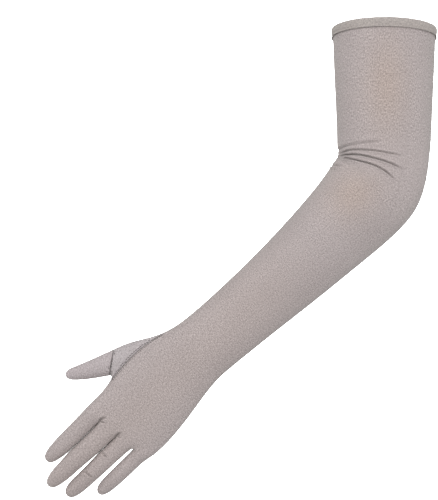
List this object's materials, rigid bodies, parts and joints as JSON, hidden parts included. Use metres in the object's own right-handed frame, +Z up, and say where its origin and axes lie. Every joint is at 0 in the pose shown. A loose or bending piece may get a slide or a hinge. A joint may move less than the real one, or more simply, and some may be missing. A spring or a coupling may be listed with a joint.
{
  "type": "long jersey glove",
  "caption": "Long close-fitting knit glove for a left arm, from above the elbow to the fingertips, in the form it takes on a bent arm, with a set-in thumb and a turned hem.",
  "frame": {"origin": "centre of the arm opening, at the top of the hem", "axes": "+Z up out of the arm opening, along the upper arm; +X to the outer (elbow tip) side of the bend; -Y to the side of the back of the hand. The arm bends in the XZ plane, and the fingers point down and to -X"},
  "size_m": [0.3546, 0.0925, 0.4274],
  "materials": {
    "jersey_back": "fine matt grey jersey knit, slightly sheer",
    "jersey_palm": "fine matt grey jersey knit, slightly sheer",
    "jersey_thumb": "fine matt grey jersey knit, slightly sheer",
    "jersey_hem": "double layer of the same jersey, turned and stitched"
  },
  "bodies": {
    "root": {"back_panel": "jersey_back", "palm_panel": "jersey_palm", "thumb": "jersey_thumb", "hem": "jersey_hem"}
  },
  "joints": []
}
